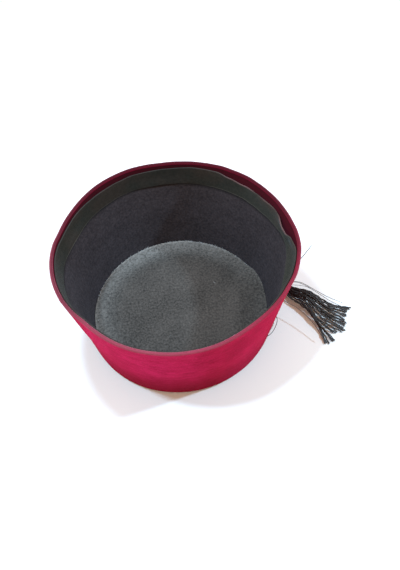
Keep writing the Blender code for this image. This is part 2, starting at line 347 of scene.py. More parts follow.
# Black thread of the cord, the tassel and the loose ends
thread = {
    "sheen": 0.25,
    "sheenRoughness": 0.4,
    "sheenTint": (0.8, 0.78, 0.9, 1),
    "specular": 0.6,
    "fleckScale": 900,
    "fleckRange": (0.45, 0.75),
    "paleTimes": 3.2,
    "glossRange": (0.3, 0.7),
    "smoother": 0.12,
    "rougher": 0.15,
    "bumpScale": 3500,
    "bump": (0.4, 0.0001),
    "fineColour": (0.012, 0.011, 0.014),
    "fineRoughness": 0.5,
}
tassel = {
    "start": (0.0858, 0.0196, 0.0043),
    "directionDegrees": -41,
    "headRadius": 0.0041,
    "headLength": 0.0125,
    "profile": [
        (0.00, 0.00), (0.00, 0.45), (0.06, 0.80), (0.25, 1.00), (0.50, 0.97),
        (0.66, 0.80), (0.80, 0.80), (1.00, 0.95), (1.08, 0.70), (1.08, 0.00),
    ],
    "ridges": 18,
    "ridgeDepth": 0.07,
    "windingRadius": 0.0003,
    "windings": 6,
    "windingSteps": 28,
    # where the winding starts, its radius and its pitch, as shares of the head's length and radius and of
    # its own thread
    "windingStart": 0.64,
    "neck": 0.81,
    "windingPitch": 1.95,
    "colour": (0.006, 0.0055, 0.0065),
    "roughness": 0.42,
    "strandRadius": 0.00062,
    "strandPitch": 0.0034,
    "strandStep": 0.00034,
    "strandPlyDepth": 0.45,
    "strandSides": 8,
    "thicknesses": (0.85, 1.15),
    "seed": 12,
    # where in the head a strand starts, as shares of its length and radius, and how flat the roots lie
    "rootAlong": 0.8,
    "rootOut": 0.7,
    "rootFlat": 0.6,
    "rootSpread": 0.004,
    # how far across the fan a strand strays, as a share of it
    "shareStray": 0.02,
    # in millimetres: how far it strays in y near the head, a third on, two thirds on and at its tip
    "stray": (0.35, 0.45, 0.55, 0.8),
    # how many times as far in x
    "strayInX": 1.6,
    # in millimetres: how far it strays in height, and at its tip, and its lowest height
    "layer": 1.17,
    "tipLayer": 0.26,
    "lowest": 0.6,
    # in millimetres: height of the kinks in x and in y, each with the run that turns it one radian
    "kinks": ((0.18, 1.3), (0.20, 1.1)),
    # a cut end swells by this share over its last steps
    "tipSwell": 0.3,
    "tipSteps": 5,
    # fibres at a cut end, in millimetres
    "fibres": 5,
    "fibreLengths": (0.8, 2.0),
    "fibreRoot": 0.5,
    "fibreLowest": 0.25,
    "fibreRadius": 0.09,
    "fibreLean": 0.4,
    "fibreOut": 0.4,
    # share across the fan, strands in the bunch there
    "bunches": [
        (0.01, 2), (0.07, 3), (0.15, 2), (0.23, 3), (0.31, 2), (0.39, 3), (0.47, 2), (0.54, 3), (0.62, 2),
        (0.69, 2), (0.78, 2), (0.89, 3), (0.99, 3),
    ],
    "reach": 0.0665,
}


def blackThread(name, colour, roughness):
    made, tree, shader = startMaterial(
        name, colour, roughness, Sheen_Weight=thread["sheen"], Sheen_Roughness=thread["sheenRoughness"],
        Sheen_Tint=thread["sheenTint"], Specular_IOR_Level=thread["specular"],
    )
    coords = objectCoords(tree)
    fleck = speckle(tree, coords, thread["fleckScale"], 3)
    pale = tuple(c * thread["paleTimes"] for c in colour)
    flecked = mixColours(tree, spread(tree, fleck, *thread["fleckRange"]), colour, pale)
    tree.links.new(flecked, shader.inputs["Base Color"])
    gloss = roughness - thread["smoother"], roughness + thread["rougher"]
    tree.links.new(spread(tree, fleck, *thread["glossRange"], *gloss), shader.inputs["Roughness"])
    addBump(tree, shader, speckle(tree, coords, thread["bumpScale"], 2), *thread["bump"])
    return made


def makeCord():
    path = smoothPath(cord["route"], cord["steps"])
    bm = bmesh.new()
    ring = plyRing(cord["diameter"] / 2, cord["plies"], cord["plyDepth"], cord["sides"])
    sweep(bm, path, ring, pathLength(path) / cord["pitch"])
    finish = blackThread("black cord", cord["colour"], cord["roughness"])
    return finishPiece("twisted_cord", bm, finish, ["tassel_cord"]), path


def headFrame():
    turn = math.radians(tassel["directionDegrees"])
    along = Vector((math.cos(turn), math.sin(turn), 0))
    return Vector(tassel["start"]), along, Vector((-along.y, along.x, 0))


def makeHead(finish):
    start, along, side = headFrame()
    length, radius = tassel["headLength"], tassel["headRadius"]
    bm = bmesh.new()
    verts = [bm.verts.new((share * length, width * radius, 0)) for share, width in tassel["profile"]]
    edges = [bm.edges.new(pair) for pair in zip(verts, verts[1:])]
    bmesh.ops.subdivide_edges(bm, edges=edges, cuts=2, smooth=0.6)
    bmesh.ops.spin(
        bm, geom=bm.verts[:] + bm.edges[:], cent=(0, 0, 0), axis=(1, 0, 0),
        angle=2 * math.pi, steps=tassel["ridges"] * 5, use_merge=True,
    )
    bmesh.ops.remove_doubles(bm, verts=bm.verts, dist=1e-6)
    for vert in bm.verts:
        turn = math.atan2(vert.co.z, vert.co.y)
        ridge = 1 - tassel["ridgeDepth"] * (0.5 - 0.5 * math.cos(turn * tassel["ridges"]))
        vert.co.y *= ridge
        vert.co.z *= ridge
    bmesh.ops.recalc_face_normals(bm, faces=bm.faces)
    # Thread wound round the neck
    neck = tassel["neck"] * radius
    coil = []
    for i in range(tassel["windings"] * tassel["windingSteps"] + 1):
        wound = i / tassel["windingSteps"]
        turn = 2 * math.pi * wound
        x = length * tassel["windingStart"] + wound * tassel["windingRadius"] * tassel["windingPitch"]
        coil.append(Vector((x, neck * math.cos(turn), neck * math.sin(turn))))
    ring = plyRing(tassel["windingRadius"], 1, 0, 6)
    sweep(bm, coil, ring, 0)
    place = Matrix((along, side, Vector((0, 0, 1)))).transposed().to_4x4()
    place.translation = start
    bmesh.ops.transform(bm, matrix=place, verts=bm.verts)
    return finishPiece("tassel_head", bm, finish)


# Where the skirt's strands run, in millimetres, from its upper to its lower side:
# share across the fan, near the head, a third on, two thirds on, tip
fan = [
    (0.00, (103.5, 4.0, 8.5), (114.5, -2.5, 10.5), (131.0, -14.0, 6.5), (148.0, -17.0, 1.4)),
    (0.14, (103.0, 3.5, 8.5), (113.0, -4.0, 10.5), (128.5, -16.5, 6.5), (144.0, -20.0, 1.0)),
    (0.32, (102.5, 2.5, 8.0), (112.0, -5.5, 9.5), (126.0, -19.5, 6.0), (141.5, -28.0, 0.9)),
    (0.46, (101.8, 1.4, 6.8), (111.0, -7.5, 9.0), (123.0, -22.5, 5.5), (139.0, -32.5, 0.8)),
    (0.60, (101.0, 0.6, 6.2), (110.0, -8.5, 8.5), (120.0, -25.5, 5.0), (136.0, -38.0, 0.8)),
    (0.72, (100.5, -0.2, 5.8), (108.5, -9.8, 7.6), (118.0, -27.0, 5.0), (132.0, -40.0, 0.8)),
    (0.80, (100.2, -0.8, 5.6), (107.5, -10.4, 7.4), (116.5, -28.0, 5.0), (128.5, -41.0, 0.8)),
    (0.90, (99.5, -2.0, 4.5), (107.0, -11.5, 7.0), (115.0, -30.5, 4.5), (126.5, -49.0, 0.7)),
    (1.00, (98.5, -3.5, 4.5), (105.5, -12.0, 6.5), (113.5, -27.0, 4.0), (120.0, -49.0, 0.7)),
]


def fanPoint(share, column):
    for low, high in zip(fan, fan[1:]):
        if share <= high[0]:
            part = (share - low[0]) / (high[0] - low[0])
            return Vector(low[column]).lerp(Vector(high[column]), part) * mm
    return Vector(fan[-1][column]) * mm


def strandPath(chance, share):
    start, along, side = headFrame()
    root = start + along * tassel["headLength"] * tassel["rootAlong"]
    turn = chance.uniform(0, 2 * math.pi)
    off = tassel["headRadius"] * tassel["rootOut"] * math.sqrt(chance.random())
    across = off * math.cos(turn) * tassel["rootFlat"] + (0.5 - share) * tassel["rootSpread"]
    points = [root + side * across + Vector((0, 0, off * math.sin(turn)))]
    for column, stray in enumerate(tassel["stray"], 1):
        strayed = share + chance.uniform(-tassel["shareStray"], tassel["shareStray"])
        point = fanPoint(min(max(strayed, 0), 1), column)
        point.x += chance.gauss(0, stray * tassel["strayInX"]) * mm
        point.y += chance.gauss(0, stray) * mm
        layer = tassel["layer"] if column < len(tassel["stray"]) else tassel["tipLayer"]
        point.z = max(point.z + chance.uniform(-layer, layer) * mm, tassel["lowest"] * mm)
        points.append(point)
    # No strand is longer than the skirt
    run = points[-1] - start - along * tassel["headLength"]
    if run.length > tassel["reach"]:
        points[-1] -= run.normalized() * (run.length - tassel["reach"])
    return points


def fuzzyEnd(bm, chance, tip, along, radius):
    # Short fibres that stand out of a cut end
    ring = plyRing(tassel["fibreRadius"] * mm, 1, 0, 3)
    for _ in range(tassel["fibres"]):
        lean = Vector([chance.gauss(0, tassel["fibreLean"]) for _ in range(3)])
        way = (along + lean).normalized() * chance.uniform(*tassel["fibreLengths"]) * mm
        spot = tip - along * tassel["fibreRoot"] * mm + lean * radius * tassel["fibreOut"]
        end = spot + way
        end.z = max(end.z, tassel["fibreLowest"] * mm)
        sweep(bm, [spot, spot.lerp(end, 0.5), end], ring, 0)


def makeStrands(finish):
    chance = random.Random(tassel["seed"])
    bm = bmesh.new()
    tufts = bmesh.new()
    shares = [share for share, count in tassel["bunches"] for _ in range(count)]
    for share in shares:
        points = strandPath(chance, share)
        rough = smoothPath(points, 40)
        steps = round(pathLength(rough) / tassel["strandStep"])
        path = smoothPath(points, steps)
        # Kinks of the twisted thread, small waves along the strand
        phase = chance.uniform(0, 6)
        (xHeight, xRun), (yHeight, yRun) = tassel["kinks"]
        for i, point in enumerate(path):
            run = i * tassel["strandStep"]
            point.x += xHeight * mm * math.sin(run / (xRun * mm) + phase)
            point.y += yHeight * mm * math.cos(run / (yRun * mm) + phase * 2)
        radius = tassel["strandRadius"] * chance.uniform(*tassel["thicknesses"])
        tip = tassel["tipSteps"]
        widths = [1.0] * (len(path) - tip) + [1 + tassel["tipSwell"] * i / tip for i in range(1, tip + 1)]
        ring = plyRing(radius, 2, tassel["strandPlyDepth"], tassel["strandSides"])
        sweep(bm, path, ring, pathLength(path) / tassel["strandPitch"], widths)
        fuzzyEnd(tufts, chance, path[-1], (path[-1] - path[-3]).normalized(), radius)
    strands = finishPiece("tassel_strands", bm, finish, ["tassel"], 80)
    ends = finishPiece("tassel_cut_ends", tufts, finish, (), 80)
    return [strands, ends]


# Fine threads that came loose, each with its radius and its route, in millimetres
looseThreads = {
    "tassel": [
        (0.24, [(95, 11, 6), (99.5, 12.8, 7.2), (103.5, 12.3, 8.0), (110.0, 8.8, 9.4), (119.4, -0.5, 10.0),
                (129.9, -7.3, 7.0), (137.0, -10.5, 5.0), (142.5, -12.7, 3.0)]),
        (0.22, [(95, 11, 6), (100, 12.2, 7), (106, 10.6, 8.6), (113, 5.0, 9.5), (121, -2.5, 8.6),
                (130, -9.5, 5.6), (137.5, -13.6, 3), (143.0, -16.0, 1)]),
        (0.18, [(96, 11, 6), (103, 8.5, 8), (110.5, 5.4, 9.4), (117.2, 1.0, 9.6)]),
        (0.24, [(92, 4, 9), (88.6, -8.0, 14), (90.2, -13.0, 16.0), (98.3, -19.3, 15.0),
                (105.4, -27.5, 13.0), (110.5, -35.2, 11.0), (114.3, -43.1, 8.0), (116.3, -46.6, 6.5)]),
        (0.20, [(96, 9, 5), (104, -3, 6), (112, -20, 5.0), (119, -34.0, 3.0), (124.0, -44.0, 1.0)]),
        (0.20, [(96, 11, 6), (105, 3, 9.5), (116, -9, 9.5), (127, -24, 4.5), (134.0, -36.0, 1.5)]),
    ],
    "hat": [
        (0.30, [(95.4, -2.5, 51), (98.8, -0.1, 52.5), (101.5, 1.7, 55.0), (104.0, 2.7, 58.0),
                (107.2, 4.4, 62.0), (110.6, 6.2, 66.0)]),
        (0.26, [(70.6, -41.3, 51), (72.4, -43.3, 48), (73.9, -44.8, 45), (74.5, -46.2, 40),
                (71.9, -49.5, 34), (68.3, -51.6, 30), (64.5, -51.0, 27)]),
        (0.14, [(70.4, -42.8, 47), (71.9, -45.6, 42), (71.0, -48.0, 38), (68.6, -49.6, 34),
                (65.0, -49.5, 31)]),
    ],
}


def makeThreads(name, rows, finish):
    bm = bmesh.new()
    for radius, points in rows:
        path = smoothPath([Vector(p) * mm for p in points], 60)
        sweep(bm, path, plyRing(radius * mm, 1, 0, 6), 0)
    return finishPiece(name, bm, finish, (), 80)


cordPiece, cordPath = makeCord()
strandFinish = blackThread("black strands", tassel["colour"], tassel["roughness"])
headPiece = makeHead(strandFinish)
strandPieces = makeStrands(strandFinish)
threadFinish = blackThread("fine black thread", thread["fineColour"], thread["fineRoughness"])
strayPiece = makeThreads("tassel_loose_threads", looseThreads["tassel"], threadFinish)
print("stage 2: cord and tassel")

# The hat's own shape, the same as the part's
hat = {
    "rimRadius": 0.095,
    "crownRadius": 0.079,
    "height": 0.090,
    "felt": 0.0028,
    "edgeRound": 0.0035,
    "gap": 0.0003,
    "unevenness": 0.0012,
    "wave": 0.0004,
    "dishDepth": 0.0044,
    "dishEnd": 0.066,
    "dishSlope": 0.016,
    "passageFlat": 0.0052,
    "passageSlope": 0.016,
    "passageDegrees": 17,
    "liftKnee": 0.008,
    "liftEnd": 0.030,
    # depth and length of the dents, the radius they are read at, where in the noise, and how they rise
    "dent": 0.0007,
    "dentLength": 0.038,
    "dentRadius": 0.09,
    "dentSpot": (3.1, 7.7, 1.3),
    "dentRise": 0.75,
    "trimRadius": 0.07,
    "segments": 320,
}
hatSlope = math.atan2(hat["rimRadius"] - hat["crownRadius"], hat["height"])
# Azimuth in degrees, share of unevenness outwards, share of wave upwards
rimShape = [
    (-10, 1.00, 0.75), (22, 0.33, 0.00), (60, -0.50, -0.50), (92, -0.58, 0.50), (118, 0.83, 1.00),
    (158, -0.92, 0.00), (182, 0.58, -0.75), (220, -0.58, 0.00), (255, 0.75, 0.75), (302, -1.00, -0.50),
]


# Small departures from the part's rounder form, seen in the photograph at the foot, at half height and at
# the rim: azimuth in degrees, millimetres outwards
footTrim = [
    (8, 0.9), (30, 0.7), (60, 0.5), (110, 0.3), (143, 0.3), (178, 0.7), (212, 1.1), (240, 1.1), (268, 0.7),
    (300, 0.3), (340, 0.5),
]
middleTrim = [
    (8, 0.2), (40, 0.0), (143, 0.0), (164, -0.3), (178, -0.6), (196, -0.6), (215, -0.7), (240, -0.4),
    (270, -0.1), (305, -0.2), (325, -0.4), (344, -0.6),
]
rimTrim = [
    (339, -0.1), (346, 0.2), (354, 0.75), (1, 0.6), (9, 0.05), (22, 0.0), (30, -0.2), (38, 0.0), (45, 0.7),
    (53, 0.8), (60, 1.3), (66, 0.8), (74, 0.3), (83, -0.45), (92, -0.75), (100, -0.15), (107, -0.05),
    (119, -0.65), (130, -0.4), (155, -0.3), (164, -0.6), (172, 0.0), (190, 0.15), (203, -0.1), (211, -0.8),
    (221, -2.2), (240, -2.0), (255, -2.1), (268, -1.6), (283, -1.2), (305, -2.0), (318, -1.9), (327, -1.5),
]


def around(table, azimuth, column):
    degrees = math.degrees(azimuth) % 360
    rows = sorted(table, key=lambda row: row[0] % 360)
    for low, high in zip(rows, rows[1:] + rows[:1]):
        span = (high[0] - low[0]) % 360
        along = (degrees - low[0]) % 360
        if along < span:
            return low[column] + (high[column] - low[column]) * smoothStep(along / span)
    return rows[0][column]


def wallRadius(height, inset=0.0):
    return hat["crownRadius"] + height * math.tan(hatSlope) - inset / math.cos(hatSlope)


def rimCentre():
    angles = [math.radians(a) for a in range(360)]
    radii = [hat["rimRadius"] + around(rimShape, a, 1) * hat["unevenness"] for a in angles]
    xs = [r * math.cos(a) for r, a in zip(radii, angles)]
    ys = [r * math.sin(a) for r, a in zip(radii, angles)]
    return (max(xs) + min(xs)) / 2, (max(ys) + min(ys)) / 2


centre = rimCentre()


def crownLift(radius, azimuth):
    dish = smoothStep((hat["dishEnd"] - radius) / hat["dishSlope"])
    turn = abs((azimuth - math.radians(hat["passageDegrees"]) + math.pi) % (2 * math.pi) - math.pi)
    away = turn * hat["crownRadius"]
    passage = smoothStep((hat["passageFlat"] + hat["passageSlope"] - away) / hat["passageSlope"])
    return hat["dishDepth"] * max(dish, passage)


def hatPlace(point):
    # From the round hat to the real one: uneven rim, dents, dished crown
    radius = math.hypot(point.x, point.y)
    azimuth = math.atan2(point.y, point.x)
    share = point.z / hat["height"]
    low = min(1.0, max(0.0, (hat["liftEnd"] - point.z) / (hat["liftEnd"] - hat["liftKnee"])))
    reach = hat["dentRadius"]
    spot = Vector((reach * math.cos(azimuth), reach * math.sin(azimuth), point.z)) / hat["dentLength"]
    dent = noise.noise(spot + Vector(hat["dentSpot"])) * hat["dent"]
    dent *= math.sin(math.pi * min(share, 1) * hat["dentRise"])
    trim = around(footTrim, azimuth, 1) * smoothStep(1 - 2 * share)
    trim += around(middleTrim, azimuth, 1) * (1 - smoothStep(abs(2 * share - 1)))
    trim += around(rimTrim, azimuth, 1) * smoothStep(2 * share - 1)
    out = radius + around(rimShape, azimuth, 1) * hat["unevenness"] * share + dent
    out += trim * smoothStep(radius / hat["trimRadius"]) * mm
    rise = around(rimShape, azimuth, 2) * hat["wave"] * share
    return Vector((
        out * math.cos(azimuth) - centre[0] * share,
        out * math.sin(azimuth) - centre[1] * share,
        point.z + crownLift(radius, azimuth) * low + rise,
    ))


def fill(points, step):
    # Adds points, so that none is further than step from the next
    found = [points[0]]
    for a, b in zip(points, points[1:]):
        count = max(1, math.ceil(math.dist(a, b) / step))
        for i in range(1, count + 1):
            found.append((a[0] + (b[0] - a[0]) * i / count, a[1] + (b[1] - a[1]) * i / count))
    return found


def spinProfile(profile, closed, segments):
    bm = bmesh.new()
    verts = [bm.verts.new((r, 0, z)) for r, z in profile]
    pairs = list(zip(verts, verts[1:]))
    if closed:
        pairs.append((verts[-1], verts[0]))
    edges = [bm.edges.new(pair) for pair in pairs]
    bmesh.ops.spin(
        bm, geom=verts + edges, cent=(0, 0, 0), axis=(0, 0, 1),
        angle=2 * math.pi, steps=segments, use_merge=True,
    )
    bmesh.ops.remove_doubles(bm, verts=bm.verts, dist=1e-6)
    bmesh.ops.recalc_face_normals(bm, faces=bm.faces)
    return bm


# Felt cap
feltLook = {
    # two colours of the felt where light is painted darkest, then where it is painted brightest
    "shaded": ((0.132, 0.0007, 0.0038), (0.240, 0.0011, 0.0090)),
    "lit": ((0.27, 0.0060, 0.046), (0.50, 0.0160, 0.105)),
    # the rim's edge: a dark colour of painted shade, then a pale colour of painted sheen
    "crest": (0.048, 0.0034, 0.0074),
    "paintedSheen": (0.25, 0.043, 0.068),
    # painted shade: the felt's inner face inside the rim, made dark
    "inside": (0.056, 0.0072, 0.0122),
    # azimuth in degrees, how bright the painted shade of the felt inside the rim is there
    "insideTone": [
        (0, 1.0), (20, 1.1), (45, 1.0), (62, 0.85), (85, 0.70), (150, 0.8), (180, 0.9), (270, 1.0),
    ],
    "roughness": 0.9,
    "specular": 0.03,
    "sheen": 0.45,
    "crestSheen": 1.0,
    "insideSheen": 0.15,
    "sheenRoughness": 0.45,
    "sheenTint": (0.95, 0.033, 0.135),
    "crestTint": (1.0, 0.40, 0.50),
    "brushStretch": (95, 95, 330),
    # scale, detail and roughness of each noise, then the weights of the three in the tone
    "cloudy": (70, 3, 0.5),
    "brushed": (1.0, 4, 0.65),
    "tufts": (700, 2, 0.6),
    "weights": (0.30, 0.45, 0.25),
    "toneRange": (0.38, 0.62),
    # single fibres, and what their noise is spread to
    "fibres": (1400, 3, 0.6),
    "fibreRange": (0.3, 0.7, 0.80, 1.14),
    "brushedBump": 1.5,
    "bump": (0.35, 0.0004),
    # azimuth in degrees, how much painted light the wall has there, how much painted sheen the rim's edge has
    # there
    "paintedLight": [
        (180, 0.35, 0.50), (205, 0.05, 0.48), (225, 0.95, 0.90), (252, 1.00, 1.00), (268, 0.74, 0.95),
        (292, 0.30, 0.85), (325, 0.18, 0.70), (350, 0.25, 0.30), (20, 0.35, 0.12), (60, 0.40, 0.10),
        (110, 0.40, 0.08), (150, 0.40, 0.18),
    ],
    # azimuth in degrees, how far the crest's colour, with its painted shade and sheen, covers the painted
    # light there
    "crestCover": [(0, 0.85), (20, 1.0), (250, 1.0), (285, 0.85), (312, 0.55), (340, 0.6)],
    # painted shade: how dark the felt is made towards its foot, below what height, and how much painted light
    # is taken away there
    "footShade": 0.42,
    "footHeight": 0.055,
    "footPaintedLight": 0.8,
    # the crest's colour starts this far below the rim's top and is full after so much more
    "crestDepth": 0.0019,
    "crestFade": 0.0014,
    # where across the felt the painted sheen on the edge starts to fade, over what share, and how much of it
    # stays there
    "paintedSheenFrom": 0.4,
    "paintedSheenOver": 0.6,
    "paintedSheenKept": 0.55,
    # where across the felt its inner face starts, over what share, and how it fades at the rim
    "insideFrom": 0.88,
    "insideOver": 0.08,
    "insideLift": 0.0004,
    "insideFade": 0.0012,
    # longest steps of the mesh on the crown, up the wall, just inside the rim and on the inner crown, then
    # the height of the band inside the rim
    "crownStep": 0.004,
    "wallStep": 0.0028,
    "rimStep": 0.0005,
    "innerStep": 0.006,
    "rimBand": 0.0016,
    "edgeSteps": 7,
    "rimSteps": 12,
}


def makeFeltMaterial():
    made, tree, shader = startMaterial(
        "maroon felt", feltLook["crest"], feltLook["roughness"], Sheen_Weight=feltLook["sheen"],
        Sheen_Roughness=feltLook["sheenRoughness"], Specular_IOR_Level=feltLook["specular"],
    )
    plain = objectCoords(tree)
    brushed = speckle(tree, objectCoords(tree, feltLook["brushStretch"]), *feltLook["brushed"])
    cloudy = speckle(tree, plain, *feltLook["cloudy"])
    tufts = speckle(tree, plain, *feltLook["tufts"])
    fibres = speckle(tree, plain, *feltLook["fibres"])
    tone = weighed(tree, list(zip((cloudy, brushed, tufts), feltLook["weights"])))
    tone = spread(tree, tone, *feltLook["toneRange"])
    # Painted light and shade: shaded and lit copies of the felt, mixed by azimuth
    colour = mixColours(
        tree, attribute(tree, "paintedLight"),
        mixColours(tree, tone, *feltLook["shaded"]), mixColours(tree, tone, *feltLook["lit"]),
    )
    crest = attribute(tree, "crest")
    inside = attribute(tree, "inside")
    # Painted shade and painted sheen on the rim's edge, mixed by azimuth
    edge = mixColours(tree, attribute(tree, "paintedSheen"), feltLook["crest"], feltLook["paintedSheen"])
    colour = mixColours(tree, crest, colour, edge)
    # Painted shade on the felt's inner face, brighter or darker by azimuth
    colour = mixColours(tree, inside, colour, shadeBy(tree, feltLook["inside"], attribute(tree, "paintedInsideShade")))
    grain = spread(tree, fibres, *feltLook["fibreRange"])
    # Fibre grain, times painted shade towards the foot
    colour = shadeBy(tree, colour, sums(tree, "MULTIPLY", grain, attribute(tree, "shade")))
    tree.links.new(colour, shader.inputs["Base Color"])
    tint = mixColours(tree, crest, feltLook["sheenTint"], feltLook["crestTint"])
    tree.links.new(tint, shader.inputs["Sheen Tint"])
    fuzz = spread(tree, crest, 0, 1, feltLook["sheen"], feltLook["crestSheen"])
    fuzz = sums(tree, "MULTIPLY", fuzz, spread(tree, inside, 0, 1, 1.0, feltLook["insideSheen"]))
    tree.links.new(fuzz, shader.inputs["Sheen Weight"])
    height = sums(tree, "ADD", fibres, sums(tree, "MULTIPLY", brushed, feltLook["brushedBump"]))
    addBump(tree, shader, height, *feltLook["bump"])
    return made


def makeFelt():
    slope = hatSlope
    rounded = hat["edgeRound"]
    middle = hat["crownRadius"] + rounded * ((1 - math.sin(slope)) * math.tan(slope) - math.cos(slope))
    steps = feltLook["edgeSteps"]
    turns = [-math.pi / 2 + (math.pi / 2 - slope) * i / steps for i in range(steps + 1)]
    edge = [(middle + rounded * math.cos(t), rounded + rounded * math.sin(t)) for t in turns]
    felt = hat["felt"]
    half = felt / 2
    rimHeight = hat["height"] - half
    rimMiddle = wallRadius(rimHeight, half)
    steps = feltLook["rimSteps"]
    turns = [-slope + math.pi * i / steps for i in range(steps + 1)]
    rim = [(rimMiddle + half * math.cos(t), rimHeight + half * math.sin(t)) for t in turns]
    outside = fill([(0, 0), edge[0]], feltLook["crownStep"]) + edge[1:]
    outside += fill([edge[-1], rim[0]], feltLook["wallStep"])[1:] + rim[1:]
    below = rimHeight - feltLook["rimBand"]
    inside = fill([rim[-1], (wallRadius(below, felt), below)], feltLook["rimStep"])[1:]
    inside += fill([inside[-1], (wallRadius(felt, felt), felt)], feltLook["crownStep"])[1:]
    inside += fill([inside[-1], (0, felt)], feltLook["innerStep"])[1:]
    bm = spinProfile(outside + inside, False, hat["segments"])
    names = ("crest", "inside", "paintedInsideShade", "paintedLight", "paintedSheen", "shade")
    crest, inner, paintedInsideShade, paintedLight, paintedSheen, shade = [bm.verts.layers.float.new(name) for name in names]
    for vert in bm.verts:
        radius, z = math.hypot(vert.co.x, vert.co.y), vert.co.z
        inset = (wallRadius(z) - radius) * math.cos(slope)
        azimuth = math.atan2(vert.co.y, vert.co.x)
        low = smoothStep(1 - z / feltLook["footHeight"])
        # Painted light by azimuth, less of it towards the foot
        vert[paintedLight] = around(feltLook["paintedLight"], azimuth, 1) * (1 - low * feltLook["footPaintedLight"])
        # Painted shade: the felt darker towards its foot
        vert[shade] = 1 - low * (1 - feltLook["footShade"])
        # Painted sheen on the rim's edge by azimuth, fading inwards across the felt
        paintedSheenShare = around(feltLook["paintedLight"], azimuth, 2)
        inwards = smoothStep((inset / felt - feltLook["paintedSheenFrom"]) / feltLook["paintedSheenOver"])
        vert[paintedSheen] = paintedSheenShare * (1 - inwards * (1 - paintedSheenShare * feltLook["paintedSheenKept"]))
        # Painted shade inside the rim, by azimuth
        vert[paintedInsideShade] = around(feltLook["insideTone"], azimuth, 1)
        top = smoothStep((z - hat["height"] + feltLook["crestDepth"]) / feltLook["crestFade"])
        vert[crest] = top * around(feltLook["crestCover"], azimuth, 1)
        behind = smoothStep((inset / felt - feltLook["insideFrom"]) / feltLook["insideOver"])
        vert[inner] = behind * smoothStep((rimHeight + feltLook["insideLift"] - z) / feltLook["insideFade"])
        vert.co = hatPlace(vert.co)
    finishPiece("felt_cap", bm, makeFeltMaterial(), ["felt_shell"])


makeFelt()
print("stage 3: felt cap")

# Linings and ribbon
lining = {
    # flat sizes before sewing: the wall's strip, the crown's disc and its area
    "wallCut": (0.066, 0.533),
    "crownCut": (0.149, 0.149),
    "crownArea": 0.0174,
    "wallThickness": 0.0010,
    "crownThickness": 0.0010,
    "wallDark": (0.0245, 0.0200, 0.0235),
    "wallPale": (0.070, 0.058, 0.066),
    "wallRibs": 620,
    "wallCross": 0.0011,
    "wallMottled": (520, 3, 0.6),
    "wallClouds": (40, 40, 120),
    # weights of ribs, mottling and clouds
    "wallWeights": (0.13, 0.65, 0.22),
    "wallRange": (0.34, 0.66),
    "wallBump": (0.5, 0.0003),
    "wallStep": 0.003,
    "roughness": 0.9,
    "specular": 0.2,
    # painted shade in the gap under the ribbon: its colour, how far down it reaches, how strong
    "paintedGapShade": (0.008, 0.008, 0.008),
    "paintedGapShadeDepth": 0.0022,
    "paintedGapShadeTone": 0.8,
    "crownDark": (0.0235, 0.0193, 0.0170),
    "crownPale": (0.106, 0.0860, 0.0755),
    "crownFrayAndPaintedSheen": (0.35, 0.31, 0.285),
    # azimuth in degrees, how pale the fuzzy edge and the painted sheen beside it are there
    "frayAndPaintedSheenTone": [
        (30, 0.25), (60, 0.7), (95, 1.0), (125, 0.9), (150, 0.55), (180, 0.45), (230, 0.15), (300, 0.05),
        (0, 0.1),
    ],
    # how far in the pale edge reaches, narrow for the fuzzy edge and wide for painted sheen, each half of it
    "frayAndPaintedSheenReach": (0.0026, 0.028),
    "edgeGrain": (0.35, 0.6, 0.3, 1.0),
    "crownGrain": (560, 4, 0.7),
    "crownClouds": (35, 3),
    # weights of clouds and grain
    "crownWeights": (0.25, 0.75),
    "crownRange": (0.36, 0.66),
    "crownBump": (0.4, 0.0003),
    # longest steps of the mesh, and how far in the finer ones go
    "crownStep": 0.004,
    "crownEdgeStep": 0.0008,
    "crownEdgeBand": 0.004,
    "weavePitch": 0.0009,
    "wrinkle": 0.0004,
    "wrinkleLength": 0.02,
}


def makeWallLiningMaterial():
    made, tree, shader = startMaterial(
        "black lining", lining["wallDark"], lining["roughness"], Specular_IOR_Level=lining["specular"],
    )
    ribs = roundRibs(tree, lining["wallRibs"])
    cross = straightRibs(tree, "Z", lining["wallCross"])
    mottled = speckle(tree, objectCoords(tree), *lining["wallMottled"])
    clouds = speckle(tree, objectCoords(tree, lining["wallClouds"]), 1.0, 3)
    tone = weighed(tree, list(zip((ribs, mottled, clouds), lining["wallWeights"])))
    tone = spread(tree, tone, *lining["wallRange"])
    colour = mixColours(tree, tone, lining["wallDark"], lining["wallPale"])
    # Painted shade along the lining's top edge, under the ribbon
    colour = mixColours(tree, attribute(tree, "paintedGapShade"), colour, lining["paintedGapShade"])
    tree.links.new(colour, shader.inputs["Base Color"])
    addBump(tree, shader, sums(tree, "ADD", ribs, sums(tree, "ADD", cross, mottled)), *lining["wallBump"])
    return made


def makeCrownLiningMaterial():
    made, tree, shader = startMaterial(
        "grey lining", lining["crownDark"], lining["roughness"], Specular_IOR_Level=lining["specular"],
    )
    plain = objectCoords(tree)
    warp = straightRibs(tree, "X", lining["weavePitch"])
    weft = straightRibs(tree, "Y", lining["weavePitch"])
    grain = speckle(tree, plain, *lining["crownGrain"])
    clouds = speckle(tree, plain, *lining["crownClouds"])
    tone = weighed(tree, list(zip((clouds, grain), lining["crownWeights"])))
    tone = spread(tree, tone, *lining["crownRange"])
    colour = mixColours(tree, tone, lining["crownDark"], lining["crownPale"])
    # Pale fuzzy edge, with painted sheen further in
    fuzz = sums(tree, "MULTIPLY", attribute(tree, "edge"), spread(tree, grain, *lining["edgeGrain"]))
    colour = mixColours(tree, fuzz, colour, lining["crownFrayAndPaintedSheen"])
    tree.links.new(colour, shader.inputs["Base Color"])
    height = sums(tree, "ADD", sums(tree, "MULTIPLY", warp, weft), grain)
    addBump(tree, shader, height, *lining["crownBump"])
    return made


